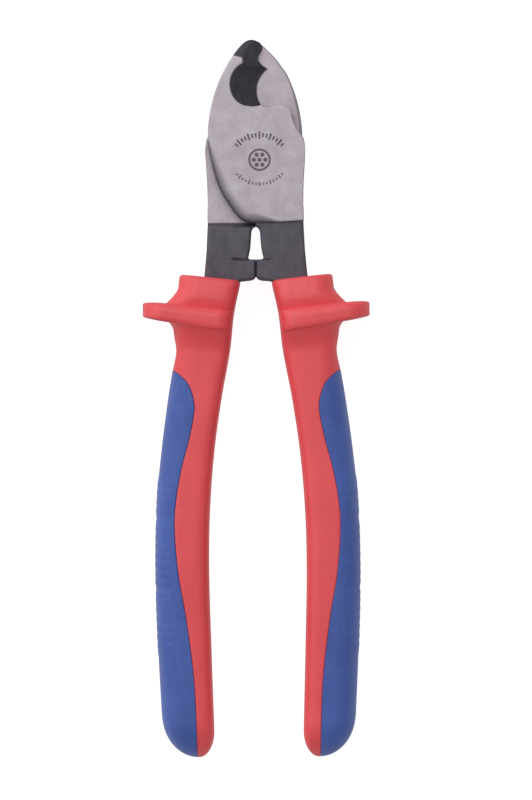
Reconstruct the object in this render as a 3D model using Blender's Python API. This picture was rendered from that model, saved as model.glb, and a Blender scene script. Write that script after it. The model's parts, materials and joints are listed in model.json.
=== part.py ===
"""Cable cutter with insulated two-colour grips.

Two identical forgings cross in a lap joint and turn on one rivet. Each forging is a
curved blade, a flat cheek and a tang, and each tang is pushed into a grip: a hard
sleeve with a guard, with a soft overlay let into its outer side.

The tool lies closed on its flat side. X runs across it, Y from the grips to the jaws,
Z up. The origin is under the middle of its box. The outlines below are in millimetres
with the rivet's centre as their zero, and every mesh is scaled to metres as it is made.
The rear half is the front half turned 180 degrees about the tool's long axis.
"""
import math

import bmesh
import bpy

MM = 0.001

# Overall size
TOOL_LENGTH = 215.0
GUARD_SPAN = 68.0
GUARD_DEPTH = 28.0
NOSE_Y = 36.1
GRIP_END_Y = NOSE_Y - TOOL_LENGTH

# Forgings
CHEEK_TOP = 5.5
TANG_HALF_DEPTH = 4.5
TANG_SHOULDER_Y = -18.7
PARTING_GAP = 0.15
FIT_GAP = 0.3
STEEL_COLOUR = (0.42, 0.38, 0.41)

# Cutting edge and the bevel ground behind it, seen from the flat side
EDGE_CENTRE = (8.85, 20.86)
EDGE_RADIUS = 7.97
EDGE_ANGLES = (126.0, 218.0)
BEVEL_CENTRE = (-0.7, 22.8)
BEVEL_RADIUS = 6.75
BEVEL_ANGLES = (113.0, 290.0)
CHEEK_EDGE_Y = 16.05
JAW_BACK_CENTRE = (30.38, 6.31)
JAW_BACK_RADIUS = 44.6

# Nose relief: a slope that starts on a line across the jaw and falls to the nose
NOSE_LINE_POINT = (-4.9, 30.3)
NOSE_LINE_HEADING = 60.0
NOSE_SLOPE = 22.0

# Rivet
RIVET_RADIUS = 4.0
RIVET_HEAD_RADIUS = 6.0
RIVET_HEAD_DEPTH = 2.0
POINTS_AROUND_RIVET = 32

# Grips
COLLAR_TOP_Y = -34.0
COLLAR_ROUND = 1.0
GUARD_MID_Y = -45.9
GUARD_HALF_THICK = 2.8
RIM_SHARE = 0.45
RIDGE_TOP_Y = -42.9
RIDGE_FLAT_Y = (-45.9, -47.1)
RIDGE_END_Y = -49.0
RIDGE_FLATNESS = 1.04
FILLET_LENGTH = 5.0
FILLET_WIDTH = 3.0
COLLAR_TILT = 0.11
GUARD_TILT = 0.16
TILT_PIVOT_X = 24.0
GRIP_TIP_X = 18.0
GRIP_OUTER_END = 13.0
GRIP_INNER_END = 7.8
GRIP_DEPTH_END = 11.0
SOFT_THICKNESS = 2.0
SOFT_TOP_Y = -62.6
POINTS_AROUND = 24


def smooth(points, steps):
    """Points of a smooth line through the given ones, without the last."""
    line = []
    ends = [points[0]] + list(points) + [points[-1]]
    for before, start, end, after in zip(ends, ends[1:], ends[2:], ends[3:]):
        for step in range(steps):
            t = step / steps
            line.append(tuple(
                0.5 * (2 * b + (c - a) * t + (2 * a - 5 * b + 4 * c - d) * t ** 2
                       + (3 * b - a - 3 * c + d) * t ** 3)
                for a, b, c, d in zip(before, start, end, after)))
    return line


def arc(centre, radius, first, last, steps):
    """Points along an arc, both ends included, angles in degrees."""
    line = []
    for step in range(steps + 1):
        angle = math.radians(first + (last - first) * step / steps)
        line.append((centre[0] + radius * math.cos(angle), centre[1] + radius * math.sin(angle)))
    return line


def profile(knots):
    """A smooth function of Y through (y, value) knots that fall in Y."""
    def slope(i):
        low = max(i - 1, 0)
        high = min(i + 1, len(knots) - 1)
        return (knots[high][1] - knots[low][1]) / (knots[high][0] - knots[low][0])

    def value(y):
        if y >= knots[0][0]:
            return knots[0][1]
        for i in range(len(knots) - 1):
            (y0, v0), (y1, v1) = knots[i], knots[i + 1]
            if y >= y1:
                span = y1 - y0
                t = (y - y0) / span
                return ((1 + 2 * t) * (1 - t) ** 2 * v0 + t * (1 - t) ** 2 * span * slope(i)
                        + t * t * (3 - 2 * t) * v1 + t * t * (t - 1) * span * slope(i + 1))
        return knots[-1][1]
    return value


grip_outer = profile([(-34, 22.9), (-40, 23.6), (-48, 24.9), (-52, 24.75), (-57, 24.07), (-63, 25.15),
                      (-71, 26.5), (-87, 28.65), (-102, 30.05), (-123, 30.55), (-147, 29.95),
                      (-168, 28.95)])
grip_inner = profile([(-36.9, 4.8), (-46, 6.7), (-57, 7.95), (-71, 10.55), (-87, 12.85), (-105, 14.3),
                      (-123, 14.67), (-147, 14.13), (-171, 13.44)])
grip_depth = profile([(-34, 10.7), (-38, 11.2), (-43, 10.7), (-50, 10.1), (-57, 9.9), (-80, 10.2),
                      (-123, 10.6), (-165, 10.1)])
tang_outer = profile([(-14, 14.3), (-20, 14.4), (-27, 14.75), (-34, 15.4), (-41, 16.4), (-57, 19.0),
                      (-71, 22.0), (-91, 24.6), (-116, 25.6), (-144, 25.0)])
tang_inner = profile([(-37, 6.5), (-45, 8.6), (-57, 11.2), (-71, 14.2), (-91, 17.6), (-116, 19.4),
                      (-144, 19.2)])
TANG_END_Y = -144.0
POCKET_TOP_Y = -33.0

SOFT_EDGE = [(25.6, -62.6), (21.7, -65.4), (19.6, -68.9), (18.6, -74.5), (20.2, -83.3), (22.7, -92.7),
             (24.4, -102.5), (24.8, -111.0), (23.7, -124.0), (21.3, -138.0), (19.0, -158.0),
             (18.2, -185.0)]


def make_object(name, bm, parent=None, hidden=False):
    """Turn a bmesh in millimetres into an object in metres."""
    bmesh.ops.recalc_face_normals(bm, faces=bm.faces)
    bmesh.ops.scale(bm, vec=(MM, MM, MM), verts=bm.verts)
    mesh = bpy.data.meshes.new(name)
    bm.to_mesh(mesh)
    bm.free()
    obj = bpy.data.objects.new(name, mesh)
    bpy.context.collection.objects.link(obj)
    obj.parent = parent
    if hidden:
        obj.hide_render = True
        obj.display_type = "WIRE"
    return obj


def loft(rings):
    """Skin a list of closed rings that have the same number of points, and cap both ends."""
    bm = bmesh.new()
    loops = [[bm.verts.new(point) for point in ring] for ring in rings]
    for low, high in zip(loops, loops[1:]):
        for i in range(len(low)):
            j = (i + 1) % len(low)
            bm.faces.new((low[i], low[j], high[j], high[i]))
    bm.faces.new(loops[0][::-1])
    bm.faces.new(loops[-1])
    return bm


def prism(outline, low, high):
    """A flat outline pulled up from one height to another."""
    return loft([[(x, y, z) for x, y in outline] for z in (low, high)])


def boolean(obj, tool, operation):
    """Add a live Boolean of one object with another."""
    modifier = obj.modifiers.new(tool.name, "BOOLEAN")
    modifier.operation = operation
    modifier.solver = "EXACT"
    modifier.object = tool


def material(name, colour, roughness, metallic):
    """A plain material of one colour."""
    made = bpy.data.materials.new(name)
    made.use_nodes = True
    shader = made.node_tree.nodes["Principled BSDF"]
    shader.inputs["Base Color"].default_value = (*colour, 1.0)
    shader.inputs["Roughness"].default_value = roughness
    shader.inputs["Metallic"].default_value = metallic
    return made


def cheek_outline(nose, back_start):
    """Blade, hook, nose, back of the jaw and cheek, counter-clockwise from the tang's side."""
    outer_side = smooth([(14.25, -16.9), (14.4, -9.0), (14.9, 0.0), (15.0, 3.5), (14.6, 6.4)], 3)
    shoulder = smooth([(14.6, 6.4), (12.6, 9.3), (11.4, 11.8), (11.0, 13.65)], 3)
    corner = arc((8.6, 13.65), 2.4, 0.0, 90.0, 4)
    edge = arc(EDGE_CENTRE, EDGE_RADIUS, EDGE_ANGLES[1], EDGE_ANGLES[0], 12)
    back = arc(JAW_BACK_CENTRE, JAW_BACK_RADIUS, back_start, 178.5, 10)
    lobe = smooth([(-14.2, 5.6), (-13.4, 0.5), (-11.3, -7.2), (-8.8, -12.0), (-6.2, -15.8),
                   (-3.6, -18.0), (0.5, -18.4)], 3)
    return outer_side + shoulder + corner + edge + nose + back + lobe


def front_outline():
    """Outline of the blade that lies on top, with its hook, bite and nose."""
    throat = smooth([(2.65, 28.2), (1.4, 29.5), (1.0, 30.9), (2.3, 33.2), (2.3, 34.7)], 2)
    crown = smooth([(1.5, 35.4), (-0.8, NOSE_Y), (-3.0, 35.35), (-5.2, 33.1)], 3)
    return cheek_outline(throat + crown, 147.0)


def rear_outline():
    """Outline of the second blade, whose nose is ground a little shorter and straighter."""
    throat = smooth([(2.65, 28.2), (1.4, 29.5), (1.0, 30.9), (2.0, 32.6), (1.9, 33.8)], 2)
    crown = smooth([(0.9, 34.9), (-0.9, 35.3), (-2.1, 34.7), (-3.7, 33.5), (-6.35, 30.5), (-7.4, 29.2)], 3)
    return cheek_outline(throat + crown, 151.0)


def tang_outline(top, grow=0.0):
    """The tang's plan: lug and keyhole on the inner side, then the part inside the grip."""
    inside = [(tang_inner(y) - grow, y) for y in (-38, -45, -57, -71, -91, -116, TANG_END_Y)]
    outside = [(tang_outer(y) + grow, y) for y in (TANG_END_Y, -116, -91, -71, -57, -45, -38)]
    if top < COLLAR_TOP_Y:
        inside[-1] = (inside[-1][0], TANG_END_Y - grow)
        outside[0] = (outside[0][0], TANG_END_Y - grow)
        return [(tang_inner(-38) - grow, top)] + inside + outside + [(tang_outer(-38) + grow, top)]
    half_gap = FIT_GAP / 2
    keyhole = smooth([(half_gap, -20.0), (0.95, -21.4), (1.35, -24.0), (1.8, -28.0), (1.5, -29.4),
                      (half_gap, -30.0)], 3)
    lug = [(half_gap, -30.1), (half_gap, -34.6), (0.6, -35.1), (4.4, -36.1), (4.5, -35.65),
           (tang_inner(-38), -35.55)]
    rest = [(tang_outer(y), y) for y in (-34, -27, -20)]
    return [(half_gap, top)] + keyhole + lug + inside + outside + rest + [(14.3, top)]


def bevel_cutter(name, parent):
    """Ruled cutter between the bevel's arc on the ground face and the cutting edge."""
    steps = 14
    upper = arc(BEVEL_CENTRE, BEVEL_RADIUS, *BEVEL_ANGLES, steps) + [(2.57, 16.1), (14.0, 16.1), (14.0, 33.0)]
    lower = arc(EDGE_CENTRE, EDGE_RADIUS, *EDGE_ANGLES, steps) + [(2.6, 16.08), (14.0, 16.08), (14.0, 27.3)]

    def ring(z):
        share = (z - PARTING_GAP) / (CHEEK_TOP - PARTING_GAP)
        return [(a[0] + (b[0] - a[0]) * share, a[1] + (b[1] - a[1]) * share, z)
                for a, b in zip(lower, upper)]
    bm = loft([ring(PARTING_GAP - 0.4), ring(CHEEK_TOP + 0.6)])
    bmesh.ops.triangulate(bm, faces=bm.faces)
    return make_object(name, bm, parent, hidden=True)


def nose_cutter(name, parent):
    """A slab whose underside is the nose relief."""
    bm = bmesh.new()
    bmesh.ops.create_cube(bm, size=40.0)
    bmesh.ops.translate(bm, verts=bm.verts, vec=(0.0, 0.0, 20.0))
    cutter = make_object(name, bm, parent, hidden=True)
    cutter.location = (NOSE_LINE_POINT[0] * MM, NOSE_LINE_POINT[1] * MM, CHEEK_TOP * MM)
    cutter.rotation_euler = (0.0, math.radians(NOSE_SLOPE), math.radians(NOSE_LINE_HEADING))
    return cutter


def turned(name, profile_points, parent, hidden=False):
    """A solid of revolution about Z from (radius, z) points."""
    turns = [math.tau * i / POINTS_AROUND_RIVET for i in range(POINTS_AROUND_RIVET)]
    rings = [[(radius * math.cos(a), radius * math.sin(a), z) for a in turns] for radius, z in profile_points]
    return make_object(name, loft(rings), parent, hidden)


def rivet_profile(gap):
    """Shank and two 45 degree heads; with a gap, the bore around them, which runs past the cheeks."""
    shank = RIVET_RADIUS + gap
    head = RIVET_HEAD_RADIUS + 2 * gap
    face = CHEEK_TOP + gap
    neck = CHEEK_TOP - RIVET_HEAD_DEPTH
    return [(head, face), (shank, neck), (shank, -neck), (head, -face)]


def forged_half(name, outline, parent):
    """Cheek and tang joined, then the lap, bevel, nose relief and rivet bore cut away."""
    half = make_object(name, prism(outline, -1.0, CHEEK_TOP), parent)
    tang = make_object(name + "_tang_tool", prism(tang_outline(-14.0), -TANG_HALF_DEPTH, TANG_HALF_DEPTH),
                       parent, hidden=True)
    lap = [(-40.0, TANG_SHOULDER_Y), (40.0, TANG_SHOULDER_Y), (40.0, 50.0), (-40.0, 50.0)]
    lap_tool = make_object(name + "_lap_tool", prism(lap, -9.0, PARTING_GAP), parent, hidden=True)
    boolean(half, tang, "UNION")
    boolean(half, lap_tool, "DIFFERENCE")
    boolean(half, bevel_cutter(name + "_bevel_tool", parent), "DIFFERENCE")
    boolean(half, nose_cutter(name + "_nose_tool", parent), "DIFFERENCE")
    boolean(half, turned(name + "_bore_tool", rivet_profile(FIT_GAP), parent, hidden=True), "DIFFERENCE")
    half.data.materials.append(material(name + "_steel", STEEL_COLOUR, 0.35, 1.0))


def ridge_share(y):
    """The guard's ridge on the two flat sides: it rises slowly, runs level and drops off."""
    if y > RIDGE_FLAT_Y[0]:
        t = min((RIDGE_TOP_Y - y) / (RIDGE_TOP_Y - RIDGE_FLAT_Y[0]), 1.0)
        return t * t * (3.0 - 2.0 * t) if t > 0.0 else 0.0
    t = min(max((RIDGE_FLAT_Y[1] - y) / (RIDGE_FLAT_Y[1] - RIDGE_END_Y), 0.0), 1.0)
    return math.sqrt(1.0 - t * t)


def station_tilt(y):
    """Slope of a cross-section in plan: steepest under the guard, none from the neck down."""
    down_guard = min(max((-44.0 - y) / 5.0, 0.0), 1.0)
    below = min(max((y + 66.0) / 15.0, 0.0), 1.0)
    return (COLLAR_TILT + (GUARD_TILT - COLLAR_TILT) * down_guard) * below


def lobe_share(y):
    """The guard's side lobe: 1 on its outer rim, 0 off the guard."""
    reach = min(abs(y - GUARD_MID_Y) / GUARD_HALF_THICK, 1.0)
    if reach <= RIM_SHARE:
        return 1.0
    return (1.0 - ((reach - RIM_SHARE) / (1.0 - RIM_SHARE)) ** 3) ** (1 / 3)


def end_share(y, length, end):
    """A quarter ellipse that closes the grip's end."""
    t = min((y - end) / length, 1.0)
    return math.sqrt(max(1.0 - (1.0 - t) ** 2, 0.0))


def grip_ring(y, inset):
    """One cross-section of the grip, a soft-cornered oval tilted with the collar and guard."""
    end = GRIP_END_Y + inset
    tilt = station_tilt(y)
    lobe = lobe_share(y) if inset == 0 else 0.0
    ridge = ridge_share(y) if inset == 0 else 0.0
    above_guard = min(max((y - GUARD_MID_Y - GUARD_HALF_THICK) / FILLET_LENGTH, 0.0), 1.0)
    fillet = FILLET_WIDTH * (1.0 - above_guard) ** 1.4 if y > GUARD_MID_Y else 0.0
    rounding = COLLAR_ROUND * max(1.0 - (COLLAR_TOP_Y - y) / COLLAR_ROUND, 0.0) ** 2
    outer = grip_outer(y) + fillet - inset - rounding
    outer += (GUARD_SPAN / 2 - outer) * lobe
    inner = grip_inner(y - tilt * 17.0) + inset + rounding
    depth = grip_depth(y) - inset - rounding
    depth += (GUARD_DEPTH / 2 - depth) * ridge
    outer = GRIP_TIP_X + (outer - GRIP_TIP_X) * end_share(y, GRIP_OUTER_END, end)
    inner = GRIP_TIP_X + (inner - GRIP_TIP_X) * end_share(y, GRIP_INNER_END, end)
    depth *= end_share(y, GRIP_DEPTH_END, end)
    flat = 1.0 + (RIDGE_FLATNESS - 1.0) * ridge
    power = 2 / (2.6 + 0.9 * max(lobe, ridge))
    ring = []
    for i in range(POINTS_AROUND):
        angle = math.tau * i / POINTS_AROUND
        across = math.copysign(abs(math.cos(angle)) ** power, math.cos(angle))
        up = math.copysign(min(flat * abs(math.sin(angle)) ** power, 1.0), math.sin(angle))
        x = (outer + inner) / 2 + (outer - inner) / 2 * across
        ring.append((x, y + tilt * (x - TILT_PIVOT_X), depth * up))
    return ring


def grip_solid(name, parent, inset=0.0, top=COLLAR_TOP_Y, hidden=False):
    """The grip's outer shape, or the same shape inset all round."""
    low_end = GRIP_END_Y + inset
    stations = [top]
    if inset == 0.0:
        rim = (0.999, 0.97, 0.85, 0.7, RIM_SHARE)
        stations += [top - 0.3, top - 1.0, -36.5, -38.5, -40.5, -42.2]
        stations += [GUARD_MID_Y + GUARD_HALF_THICK * t for t in rim] + list(RIDGE_FLAT_Y)
        stations += [GUARD_MID_Y - GUARD_HALF_THICK * t for t in reversed(rim)] + [RIDGE_END_Y]
        stations += [-50.5, -53.5, -57.0]
    stations += [-61.0, -65.0, -70.0, -76.0, -83.0, -91.0, -100.0, -111.0, -123.0, -135.0, -147.0,
                 -158.0, -165.0]
    stations += [low_end + GRIP_OUTER_END * (1.0 - math.cos(math.radians(a)))
                 for a in (77, 62, 48, 35, 22, 11, 3)]
    return make_object(name, loft([grip_ring(y, inset) for y in stations]), parent, hidden)


def soft_cutter(name, parent, grow, inset):
    """Everything outboard of the overlay's edge and outside the inset core."""
    edge = [(x - grow, y + (grow if i == 0 else 0.0)) for i, (x, y) in enumerate(SOFT_EDGE)]
    outline = smooth(edge, 3) + [(18.2 - grow, -185.0), (45.0, -185.0), (45.0, -62.6 + grow)]
    cutter = make_object(name, prism(outline[::-1], -20.0, 20.0), parent, hidden=True)
    boolean(cutter, grip_solid(name + "_core", parent, inset, -56.0, hidden=True), "DIFFERENCE")
    return cutter


def grip(side, parent):
    """A hard sleeve with its recess and tang pocket, and the soft overlay that fills the recess."""
    body = grip_solid(side + "_grip_body", parent)
    boolean(body, soft_cutter(side + "_recess_tool", parent, FIT_GAP, SOFT_THICKNESS + FIT_GAP), "DIFFERENCE")
    pocket = prism(tang_outline(POCKET_TOP_Y, FIT_GAP), -TANG_HALF_DEPTH - FIT_GAP, TANG_HALF_DEPTH + FIT_GAP)
    boolean(body, make_object(side + "_pocket_tool", pocket, parent, hidden=True), "DIFFERENCE")
    body.data.materials.append(material(side + "_hard_plastic", (0.65, 0.085, 0.1), 0.45, 0.0))
    overlay = grip_solid(side + "_grip_overlay", parent)
    boolean(overlay, soft_cutter(side + "_overlay_tool", parent, 0.0, SOFT_THICKNESS), "INTERSECT")
    overlay.data.materials.append(material(side + "_soft_plastic", (0.06, 0.1, 0.35), 0.6, 0.0))


def pivot_empty(name, turn):
    """An empty on the rivet's axis in the parting plane."""
    pivot = bpy.data.objects.new(name, None)
    bpy.context.collection.objects.link(pivot)
    pivot.location = (0.0, (TOOL_LENGTH / 2 - NOSE_Y) * MM, GUARD_DEPTH / 2 * MM)
    pivot.rotation_euler = (0.0, turn, 0.0)
    return pivot


def main():
    for obj in list(bpy.data.objects):
        bpy.data.objects.remove(obj, do_unlink=True)
    front = pivot_empty("front_pivot", 0.0)
    rear = pivot_empty("rear_pivot", math.pi)
    forged_half("front_half", front_outline(), front)
    forged_half("rear_half", rear_outline(), rear)
    rivet = turned("pivot_rivet", rivet_profile(0.0), rear)
    rivet.data.materials.append(material("rivet_steel", STEEL_COLOUR, 0.35, 1.0))
    grip("right", front)
    grip("left", rear)
    for obj in bpy.data.objects:
        if obj.type == "MESH" and not obj.hide_render:
            obj.data.shade_smooth()
            obj.data.set_sharp_from_angle(angle=math.radians(30.0))


main()
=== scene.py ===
"""Looks of the cable cutter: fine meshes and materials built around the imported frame.

The forgings are drawn as distance fields and skinned, the grips are lofted from formulas.
Shapes are in millimetres with the rivet's centre as zero, X across, Y towards the jaws and
Z along the rivet. The rear half of the tool is the front half turned about Y.
"""
import json
import math

import bmesh
import bpy
import numpy as np
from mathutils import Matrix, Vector


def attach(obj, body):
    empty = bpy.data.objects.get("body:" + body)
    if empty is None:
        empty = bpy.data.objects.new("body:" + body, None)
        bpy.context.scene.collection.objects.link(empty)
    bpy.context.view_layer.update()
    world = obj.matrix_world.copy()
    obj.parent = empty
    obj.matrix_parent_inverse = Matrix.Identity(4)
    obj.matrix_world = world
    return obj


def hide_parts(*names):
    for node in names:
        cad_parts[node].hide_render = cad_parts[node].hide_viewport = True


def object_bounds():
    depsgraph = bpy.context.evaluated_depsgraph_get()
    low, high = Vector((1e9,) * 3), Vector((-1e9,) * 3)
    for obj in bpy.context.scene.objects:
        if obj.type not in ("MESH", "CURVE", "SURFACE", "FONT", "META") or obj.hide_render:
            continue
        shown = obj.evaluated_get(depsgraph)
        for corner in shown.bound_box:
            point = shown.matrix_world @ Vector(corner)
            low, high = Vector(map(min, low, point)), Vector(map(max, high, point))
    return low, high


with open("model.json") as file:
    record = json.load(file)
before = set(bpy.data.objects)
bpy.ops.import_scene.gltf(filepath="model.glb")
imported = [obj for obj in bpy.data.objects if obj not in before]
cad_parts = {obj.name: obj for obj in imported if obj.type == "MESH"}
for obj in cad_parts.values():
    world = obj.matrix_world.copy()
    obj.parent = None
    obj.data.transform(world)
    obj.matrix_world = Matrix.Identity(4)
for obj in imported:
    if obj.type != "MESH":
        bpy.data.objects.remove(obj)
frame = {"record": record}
cad_box = [list(corner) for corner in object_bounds()]

MM = 0.001
PIVOT = Vector(frame["record"]["behaviour"]["joints"][0]["pos_m"])
NOSE_Y = (cad_box[1][1] - PIVOT.y) / MM
GRIP_END_Y = (cad_box[0][1] - PIVOT.y) / MM
GUARD_HALF_SPAN = cad_box[1][0] / MM
GUARD_HALF_DEPTH = (cad_box[1][2] - PIVOT.z) / MM

# Forgings
CELL = 0.24
SHARP_ANGLE = math.radians(36.0)
CHEEK_TOP = 5.5
TANG_HALF_DEPTH = 4.5
PARTING = 0.1
SHOULDER_Y = -19.1
SHOULDER_RUN = 1.2
EDGE_ROUND = 0.16
LOBE_ROUND = 3.4
LOBE_FLATNESS = 2.6
TANG_ROUND = 0.9
TANG_END_Y = -144.0
EDGE_CENTRE = (8.85, 20.86)
EDGE_RADIUS = 7.97
BEVEL_CENTRE = (-0.7, 22.8)
BEVEL_RADIUS = 6.75
BEVEL_SQUARENESS = 0.035
CHEEK_EDGE_Y = 16.05
JAW_BACK_CENTRE = (30.38, 6.31)
JAW_BACK_RADIUS = 44.6
NOSE_LINE_POINT = (-5.9, 31.2)
NOSE_LINE_HEADING = math.radians(76.0)
NOSE_SLOPE = math.radians(22.0)
HOOK_RELIEF_X = -3.55
HOOK_RELIEF_Y = 28.4
HOOK_SLOPE = math.radians(38.0)
LUG_GAP = 0.006

# Rivet
RIVET_HEAD_RADIUS = 6.0
RIVET_SHANK_RADIUS = 4.0
RIVET_HEAD_DEPTH = 2.0
RIVET_PROUD = 0.003
RIVET_FLANGE = 0.2

# Grips
COLLAR_TOP_Y = -34.0
COLLAR_ROUND = 1.0
GUARD_MID_Y = -45.9
GUARD_HALF_THICK = 2.8
RIM_SHARE = (0.6, 0.76)
RIDGE_TOP_Y = -42.9
RIDGE_FLAT_Y = (-45.9, -47.1)
RIDGE_END_Y = -49.0
RIDGE_FLATNESS = 1.04
UNDER_FILLET = (1.0, 2.8)
UNDER_LENGTH = (2.4, 7.5)
UNDER_POWER = (2.4, 1.8)
FILLET_LENGTH = 5.0
FILLET_WIDTH = 3.0
COLLAR_TILT = 0.11
GUARD_TILT = 0.16
TILT_PIVOT_X = 24.0
INNER_POWER = 5.2
LIP = 0.6
RECESS_RISE = 0.5
RECESS_RUNOUT = 5.0
GRIP_TIP_X = 18.0
GRIP_OUTER_END = 13.0
GRIP_INNER_END = 7.8
GRIP_DEPTH_END = 11.0
SEAM_HEIGHT = 0.07
SOFT_THICKNESS = 2.0
SOFT_SWELL = 0.08
PAD_TOP_Y = -94.0
PAD_END_Y = -148.4
PAD_HEIGHT = 0.22
GROOVES_Y = (-107.2, -128.2)
GROOVE_HALF_WIDTH = 1.5
RIB_PITCH = 2.7
RIB_HEIGHT = 0.1

# Etched mark, in millimetres and radians
MARK_X = 1.3
MARK_SPREAD = math.radians(50.0)
MARK_LINES = 15
UPPER_ARC = (8.35, 10.45)
LOWER_ARC = (8.6, 9.9)
STRAND_CIRCLE = 1.72
SHEATH_RADIUS = 3.05

# Finishes and light
GROUND_DARK = (0.34, 0.297, 0.327)
GROUND_VIOLET = (0.475, 0.41, 0.477)
GROUND_GREY = (0.46, 0.425, 0.451)
ETCHED = (0.06, 0.045, 0.053)
OXIDE_DARK = (0.05, 0.044, 0.059)
OXIDE_LIGHT = (0.078, 0.068, 0.092)
# Darker oxide for the head, lug and creases; on the bevel, nose, cheek walls and creases it is painted shade.
OXIDE_AND_SHADE_DARK = (0.023, 0.019, 0.03)
OXIDE_AND_SHADE_LIGHT = (0.042, 0.036, 0.054)
RED_DARK = (0.68, 0.06, 0.07)
RED_LIGHT = (0.75, 0.073, 0.085)
BLUE_DARK = (0.035, 0.073, 0.297)
BLUE_LIGHT = (0.048, 0.101, 0.375)
WORLD_STRENGTH = 0.43
KEY_PLACE = (-0.8, 0.7, 0.85)
KEY_SIZE = 1.9
KEY_POWER = 16.1
FILL_PLACE = (0.0, 0.45, 1.25)
FILL_SIZE = 0.7
FILL_POWER = 2.9
FLOOR_GREY = (0.3, 0.3, 0.3, 1.0)
FLOOR_GLOW = 0.9
WHITE = (1.0, 1.0, 1.0, 1.0)
LENS = 300.0
SENSOR = 36.0
VIEW_HEIGHT = 0.240
VIEW_MIDDLE = (0.00276, -0.00049)
CAMERA_ROLL = math.radians(-0.384)


def smooth(points, steps):
    """Points of a smooth line through the given ones, without the last."""
    line = []
    ends = [points[0]] + list(points) + [points[-1]]
    for before, start, end, after in zip(ends, ends[1:], ends[2:], ends[3:]):
        for step in range(steps):
            t = step / steps
            line.append(tuple(
                0.5 * (2 * b + (c - a) * t + (2 * a - 5 * b + 4 * c - d) * t ** 2
                       + (3 * b - a - 3 * c + d) * t ** 3)
                for a, b, c, d in zip(before, start, end, after)))
    return line


def arc(centre, radius, first, last, steps):
    """Points along an arc, both ends included, angles in degrees."""
    angles = np.radians(np.linspace(first, last, steps + 1))
    return [(centre[0] + radius * math.cos(a), centre[1] + radius * math.sin(a)) for a in angles]


def profile(knots):
    """A smooth function of Y through (y, value) knots that fall in Y."""
    ys = np.array([k[0] for k in knots], float)
    values = np.array([k[1] for k in knots], float)
    slopes = np.empty_like(ys)
    slopes[1:-1] = (values[2:] - values[:-2]) / (ys[2:] - ys[:-2])
    slopes[0] = (values[1] - values[0]) / (ys[1] - ys[0])
    slopes[-1] = (values[-1] - values[-2]) / (ys[-1] - ys[-2])

    def value(y):
        y = np.clip(np.asarray(y, float), ys[-1], ys[0])
        i = np.clip(np.searchsorted(-ys, -y, side="right") - 1, 0, len(ys) - 2)
        span = ys[i + 1] - ys[i]
        t = (y - ys[i]) / span
        return ((1 + 2 * t) * (1 - t) ** 2 * values[i] + t * (1 - t) ** 2 * span * slopes[i]
                + t * t * (3 - 2 * t) * values[i + 1] + t * t * (t - 1) * span * slopes[i + 1])
    return value


grip_outer = profile([(-34, 22.9), (-40, 23.6), (-48, 24.9), (-52, 24.75), (-57, 24.07), (-63, 25.15),
                      (-71, 26.5), (-87, 28.65), (-102, 30.05), (-123, 30.55), (-147, 29.95),
                      (-168, 28.95)])
grip_inner = profile([(-36.9, 4.8), (-46, 6.7), (-57, 7.95), (-71, 10.55), (-87, 12.85), (-105, 14.3),
                      (-123, 14.67), (-147, 14.13), (-171, 13.44)])
grip_depth = profile([(-34, 10.5), (-40, 11.5), (-43, 11.0), (-50, 10.0), (-57, 9.9), (-80, 10.2),
                      (-123, 10.6), (-165, 10.1)])
tang_outer = profile([(-14, 14.3), (-20, 14.4), (-27, 14.75), (-34, 15.4), (-41, 16.4), (-57, 19.0),
                      (-71, 22.0), (-91, 24.6), (-116, 25.6), (-144, 25.0)])
tang_inner = profile([(-37, 6.5), (-45, 8.6), (-57, 11.2), (-71, 14.2), (-91, 17.6), (-116, 19.4),
                      (-144, 19.2)])
SOFT_EDGE = np.array(smooth([(31.0, -61.0), (25.6, -62.6), (21.7, -65.4), (19.6, -68.9), (18.6, -74.5),
                             (20.2, -83.3), (22.7, -92.7), (24.4, -102.5), (24.8, -111.0),
                             (23.7, -124.0), (21.3, -138.0), (19.0, -158.0), (18.2, -185.0)], 12))


def mesh_object(name, vertices, faces, turned, body, shares=None):
    """A smooth-shaded object from millimetre points, riding on a body, with shares kept per vertex."""
    points = np.asarray(vertices, float)
    if turned:
        points = points * (-1.0, 1.0, -1.0)
    points = points * MM + np.array(PIVOT)
    mesh = bpy.data.meshes.new(name)
    mesh.from_pydata(points.tolist(), [], faces)
    for label, values in (shares or {}).items():
        attribute = mesh.attributes.new(label, "FLOAT", "POINT")
        attribute.data.foreach_set("value", np.asarray(values, np.float32))
    mesh.validate()
    bm = bmesh.new()
    bm.from_mesh(mesh)
    bmesh.ops.remove_doubles(bm, verts=bm.verts, dist=2e-6)
    bmesh.ops.recalc_face_normals(bm, faces=bm.faces)
    bm.to_mesh(mesh)
    bm.free()
    mesh.shade_smooth()
    mesh.set_sharp_from_angle(angle=SHARP_ANGLE)
    obj = bpy.data.objects.new(name, mesh)
    bpy.context.collection.objects.link(obj)
    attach(obj, body)
    return obj


# ---------------------------------------------------------------- forgings

def polygon_distance(x, y, outline):
    """Signed distance to a closed outline, negative inside."""
    points = np.array(outline)
    nearest = np.full(x.shape, 1e9)
    inside = np.zeros(x.shape, bool)
    for (ax, ay), (bx, by) in zip(points, np.roll(points, -1, axis=0)):
        ex, ey = bx - ax, by - ay
        wx, wy = x - ax, y - ay
        t = np.clip((wx * ex + wy * ey) / max(ex * ex + ey * ey, 1e-12), 0.0, 1.0)
        nearest = np.minimum(nearest, (wx - t * ex) ** 2 + (wy - t * ey) ** 2)
        crosses = (ay > y) != (by > y)
        with np.errstate(divide="ignore", invalid="ignore"):
            inside ^= crosses & (x < ax + ex * (y - ay) / (ey if ey else 1e-12))
    return np.sqrt(nearest) * np.where(inside, -1.0, 1.0)


def round_max(a, b, radius):
    """Intersection of two distances with a rounded edge."""
    corner = np.hypot(a + radius, b + radius) - radius
    return np.where((a > -radius) & (b > -radius), corner, np.maximum(a, b))


def round_min(a, b, radius):
    """Union of two distances with a fillet."""
    return -round_max(-a, -b, radius)


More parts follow.
